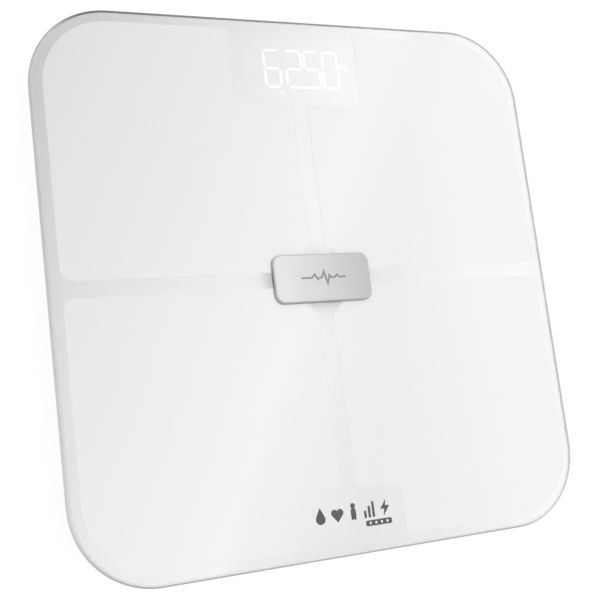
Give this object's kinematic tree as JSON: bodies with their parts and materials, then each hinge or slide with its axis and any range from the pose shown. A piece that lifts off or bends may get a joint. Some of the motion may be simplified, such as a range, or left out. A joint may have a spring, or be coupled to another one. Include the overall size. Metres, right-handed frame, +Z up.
{
  "type": "digital bathroom scale",
  "caption": "Square glass body-composition scale with rounded corners, film electrodes, raised metal badge, hidden lit display and load-cell feet.",
  "frame": {"origin": "on the floor, under the middle of the platform", "axes": "+X to the right, +Y towards the display edge, +Z up"},
  "size_m": [0.315, 0.315, 0.029],
  "materials": {
    "clear_glass": "polished toughened glass with ground edges",
    "white_enamel": "fired white enamel behind the glass",
    "electrode_film": "satin conductive film",
    "satin_badge": "fine brushed satin with a polished bevel",
    "foam_tape": "closed-cell foam",
    "dark_ink": "screen-printed ceramic ink",
    "diffuser": "translucent white film",
    "lit_segment": "lit white light-emitting segment",
    "unlit_segment": "unlit segment",
    "white_abs": "fine moulded grain",
    "grey_abs": "fine moulded grain",
    "circuit_board": "solder mask",
    "chip_black": "moulded epoxy",
    "led_chip": "light-emitting diode",
    "ribbon": "flat cable",
    "label_white": "blank satin label",
    "cell_steel": "zinc-plated spring steel",
    "screw_steel": "zinc-plated",
    "gauge_silicone": "white silicone potting",
    "foot_rubber": "soft rubber with rings",
    "shield_can": "tinned steel",
    "connector_nylon": "natural nylon",
    "button_grey": "satin moulded cap",
    "wire_white": "flexible sheath",
    "wire_red": "flexible sheath",
    "wire_black": "flexible sheath",
    "contact_brass": "tinned brass",
    "contact_nickel": "nickel-plated spring steel",
    "cell_sleeve": "plain printed sleeve"
  },
  "bodies": {
    "platform": {"glass_platform": "clear_glass", "back_print": "white_enamel", "badge_plate": "satin_badge", "badge_adhesive": "foam_tape", "front_pictograms": "dark_ink", "display_film": "diffuser", "lit_segments": "lit_segment", "unlit_segments": "unlit_segment", "display_housing": "white_abs", "display_board": "circuit_board", "display_leds": "led_chip", "display_ribbon": "ribbon", "base_tray": "grey_abs", "perimeter_tape": "foam_tape", "rating_label": "label_white", "strain_gauges": "gauge_silicone", "holder_screws": "screw_steel", "main_board": "circuit_board", "board_screws": "screw_steel", "board_components": "chip_black", "wireless_module": "shield_can", "tray_rim": "grey_abs", "tray_ribs": "grey_abs", "battery_bay": "grey_abs", "board_connectors": "connector_nylon", "unit_switch": "chip_black", "cell_leads": "wire_white", "electrode_leads": "wire_red", "battery_leads": "wire_black", "contact_rivets": "contact_brass", "battery_contacts": "contact_nickel", "batteries": "cell_sleeve", "battery_springs": "contact_nickel", "electrode_front_left": "electrode_film", "cell_holder_front_left": "white_abs", "load_cell_front_left": "cell_steel", "electrode_front_right": "electrode_film", "cell_holder_front_right": "white_abs", "load_cell_front_right": "cell_steel", "electrode_rear_left": "electrode_film", "cell_holder_rear_left": "white_abs", "load_cell_rear_left": "cell_steel", "electrode_rear_right": "electrode_film", "cell_holder_rear_right": "white_abs", "load_cell_rear_right": "cell_steel"},
    "foot_front_left": {"foot_pad_front_left": "foot_rubber", "foot_shell_front_left": "grey_abs", "cell_tongue_front_left": "cell_steel"},
    "foot_front_right": {"foot_pad_front_right": "foot_rubber", "foot_shell_front_right": "grey_abs", "cell_tongue_front_right": "cell_steel"},
    "foot_rear_left": {"foot_pad_rear_left": "foot_rubber", "foot_shell_rear_left": "grey_abs", "cell_tongue_rear_left": "cell_steel"},
    "foot_rear_right": {"foot_pad_rear_right": "foot_rubber", "foot_shell_rear_right": "grey_abs", "cell_tongue_rear_right": "cell_steel"},
    "door": {"battery_door": "grey_abs"},
    "button": {"unit_button": "button_grey", "switch_stem": "chip_black"}
  },
  "joints": [
    {"name": "foot_travel_front_left", "type": "slide", "parent": "platform", "child": "foot_front_left", "axis": [0, 0, 1], "range_m": [0, 0.0008], "stiffness_N_per_m": 8000, "springref_m": -0.003},
    {"name": "foot_travel_front_right", "type": "slide", "parent": "platform", "child": "foot_front_right", "axis": [0, 0, 1], "range_m": [0, 0.0008], "stiffness_N_per_m": 8000, "springref_m": -0.003},
    {"name": "foot_travel_rear_left", "type": "slide", "parent": "platform", "child": "foot_rear_left", "axis": [0, 0, 1], "range_m": [0, 0.0008], "stiffness_N_per_m": 8000, "springref_m": -0.003},
    {"name": "foot_travel_rear_right", "type": "slide", "parent": "platform", "child": "foot_rear_right", "axis": [0, 0, 1], "range_m": [0, 0.0008], "stiffness_N_per_m": 8000, "springref_m": -0.003},
    {"name": "battery_door_hinge", "type": "hinge", "parent": "platform", "child": "door", "pos_m": [0, -0.07, 0.0074], "axis": [-1, 0, 0], "range_deg": [0, 95]},
    {"name": "unit_button_press", "type": "slide", "parent": "platform", "child": "button", "axis": [0, 0, 1], "range_m": [0, 0.0005], "stiffness_N_per_m": 600, "springref_m": -0.001}
  ]
}
